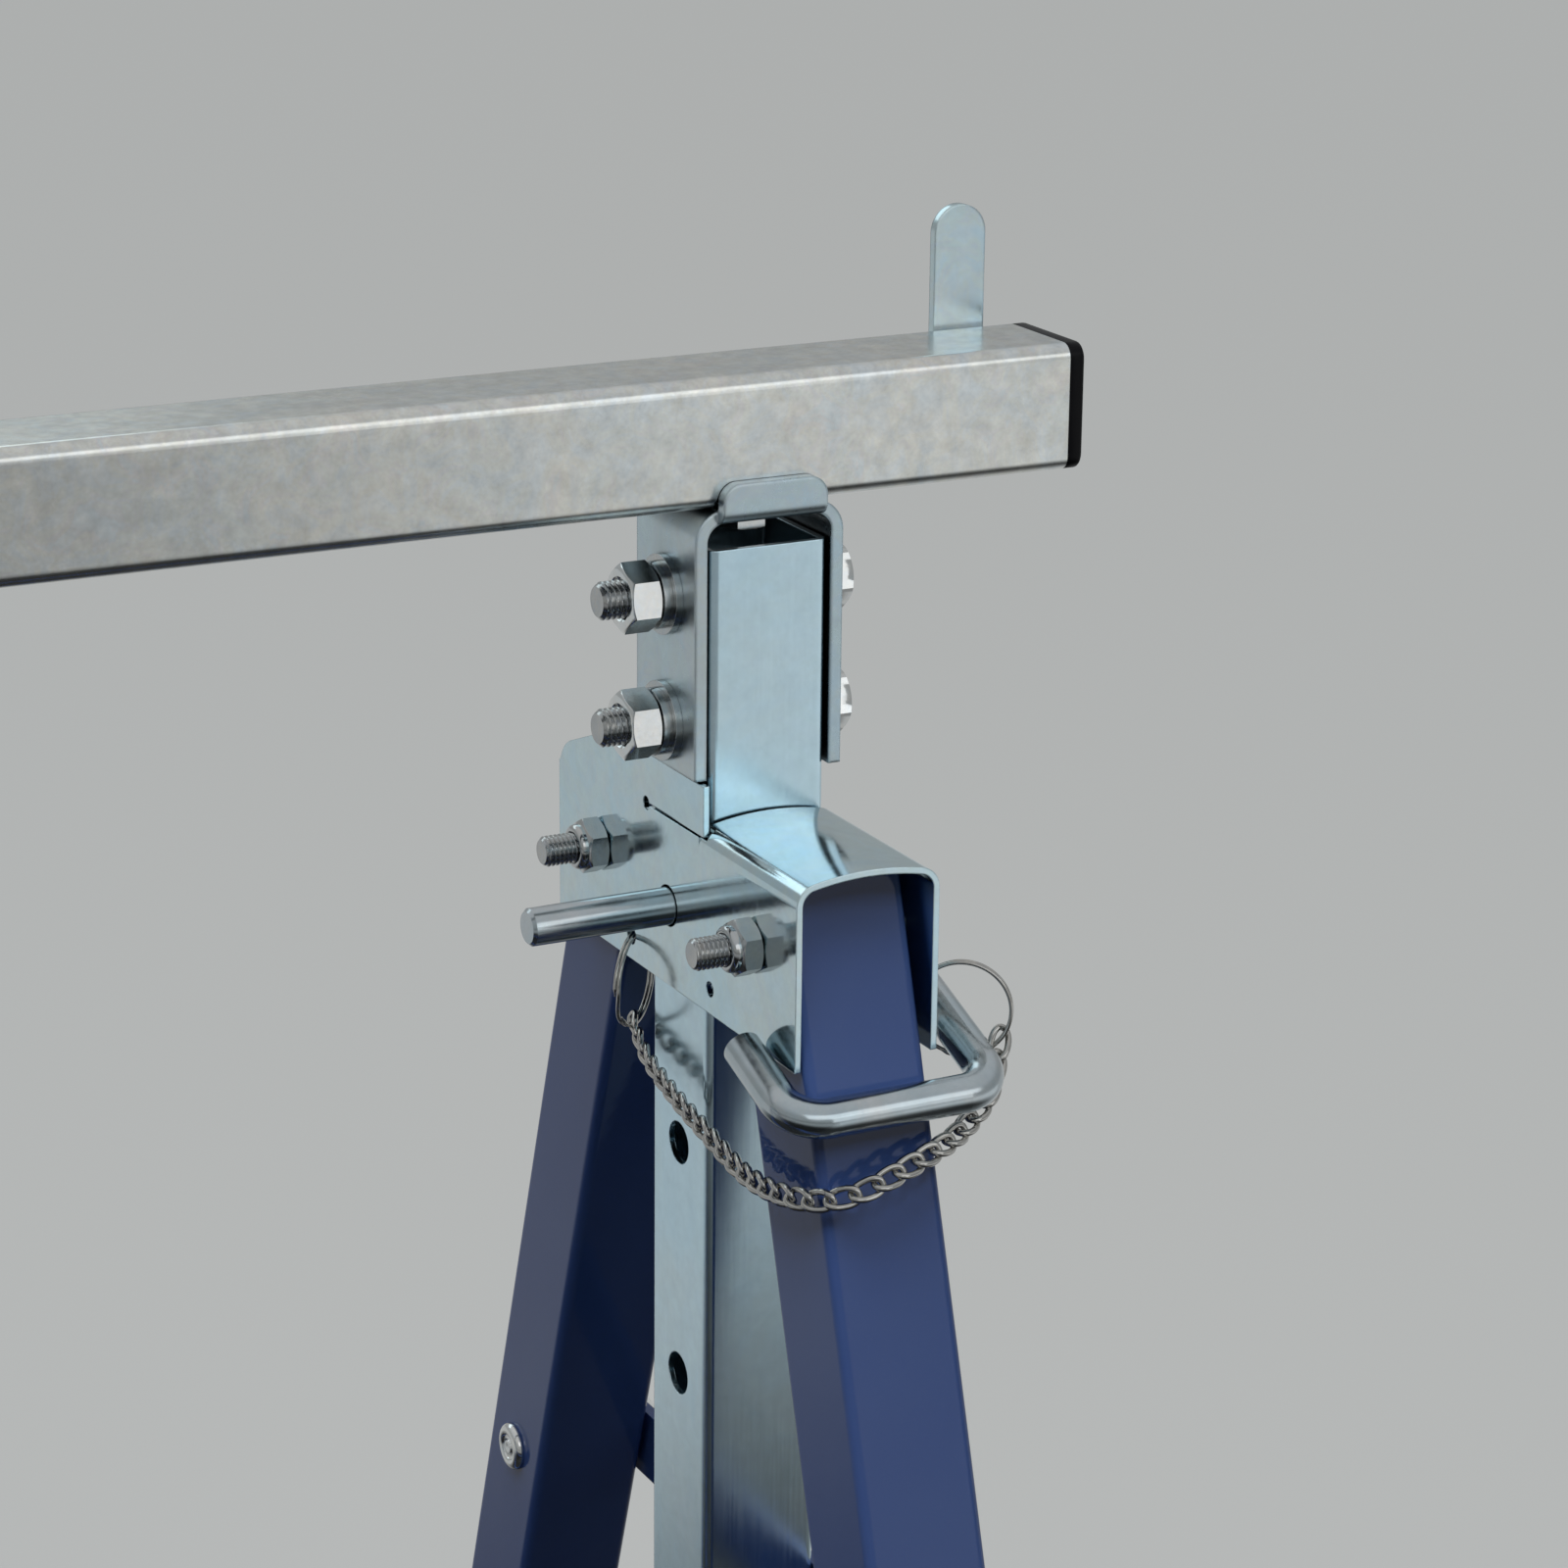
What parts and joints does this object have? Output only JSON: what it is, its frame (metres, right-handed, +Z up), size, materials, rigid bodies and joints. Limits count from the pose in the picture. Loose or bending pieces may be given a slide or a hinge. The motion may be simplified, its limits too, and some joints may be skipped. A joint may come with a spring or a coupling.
{
  "type": "builders trestle",
  "caption": "Folding builders trestle: square-tube beam with end stops on drilled telescopic posts, cross-pinned in folded heads, on splayed painted legs held by hooked stays.",
  "frame": {"origin": "on the floor, under the middle of the beam", "axes": "+X along the beam, -Y to the front legs, which carry the lock pins' handles, +Z up"},
  "size_m": [1.011, 0.5631, 0.8585],
  "materials": {
    "zinc_plate": "bright zinc plating, bluish, slightly mottled",
    "blue_paint": "semi-gloss dark blue paint",
    "black_plastic": "moulded black plastic",
    "nickel_wire": "nickel-plated wire"
  },
  "bodies": {
    "heads": {"head_right": "zinc_plate", "head_left": "zinc_plate", "leg_bolts": "zinc_plate", "leg_nuts": "zinc_plate", "chain_right": "nickel_wire", "chain_left": "nickel_wire"},
    "mast": {"top_beam": "zinc_plate", "beam_cap_right": "black_plastic", "beam_cap_left": "black_plastic", "stop_tab_right": "zinc_plate", "stop_tab_left": "zinc_plate", "saddle_right": "zinc_plate", "saddle_left": "zinc_plate", "post_right": "zinc_plate", "post_left": "zinc_plate", "beam_fixing_bolts": "zinc_plate", "beam_fixing_nuts": "zinc_plate", "saddle_bolts": "zinc_plate", "saddle_flat_washers": "zinc_plate", "saddle_spring_washers": "zinc_plate", "saddle_nuts": "zinc_plate"},
    "front_frame": {"front_leg_right": "blue_paint", "front_leg_left": "blue_paint", "front_foot_right": "black_plastic", "front_foot_left": "black_plastic", "front_cross_tube": "blue_paint", "stay_studs": "zinc_plate"},
    "rear_frame": {"rear_leg_right": "blue_paint", "rear_leg_left": "blue_paint", "rear_foot_right": "black_plastic", "rear_foot_left": "black_plastic", "rear_cross_tube": "blue_paint", "stay_pivot_bolts": "zinc_plate", "stay_washers": "zinc_plate", "stay_pivot_nuts": "zinc_plate"},
    "pin_right": {"lock_pin_right": "zinc_plate", "handle_ring_right": "nickel_wire"},
    "pin_left": {"lock_pin_left": "zinc_plate", "handle_ring_left": "nickel_wire"},
    "ring_right": {"plate_ring_right": "nickel_wire"},
    "ring_left": {"plate_ring_left": "nickel_wire"},
    "stay_right": {"stay_right": "blue_paint"},
    "stay_left": {"stay_left": "blue_paint"}
  },
  "joints": [
    {"name": "mast_lift", "type": "slide", "parent": "heads", "child": "mast", "axis": [0, 0, 1], "range_m": [0, 0.48]},
    {"name": "front_fold", "type": "hinge", "parent": "heads", "child": "front_frame", "pos_m": [0, -0.058, 0.6555], "axis": [1, 0, 0], "range_deg": [0, 16.93]},
    {"name": "rear_fold", "type": "hinge", "parent": "heads", "child": "rear_frame", "pos_m": [0, 0.05, 0.6555], "axis": [-1, 0, 0], "range_deg": [0, 17.57]},
    {"name": "pin_swing_right", "type": "hinge", "parent": "heads", "child": "pin_right", "pos_m": [0.396, 0, 0.65], "axis": [-1, 0, 0], "range_deg": [0, 75], "deforming": ["chain_right"]},
    {"name": "pin_swing_left", "type": "hinge", "parent": "heads", "child": "pin_left", "pos_m": [-0.396, 0, 0.65], "axis": [-1, 0, 0], "range_deg": [0, 75], "deforming": ["chain_left"]},
    {"name": "stay_lift_right", "type": "hinge", "parent": "rear_frame", "child": "stay_right", "pos_m": [0.4186, 0.12835, 0.408], "axis": [-1, 0, 0], "range_deg": [0, 25]},
    {"name": "stay_lift_left", "type": "hinge", "parent": "rear_frame", "child": "stay_left", "pos_m": [-0.4186, 0.12835, 0.408], "axis": [-1, 0, 0], "range_deg": [0, 25]},
    {"name": "ring_swing_right", "type": "hinge", "parent": "heads", "child": "ring_right", "pos_m": [0.373, 0.0265, 0.617], "axis": [0, 0, -1], "range_deg": [0, 38.1]},
    {"name": "ring_swing_left", "type": "hinge", "parent": "heads", "child": "ring_left", "pos_m": [-0.373, 0.0265, 0.617], "axis": [0, 0, 1], "range_deg": [0, 38.1]}
  ],
  "couplings": [
    {"joint": "ring_swing_right", "follows": "rear_fold", "ratio": 2.1628},
    {"joint": "ring_swing_left", "follows": "rear_fold", "ratio": 2.1628}
  ]
}
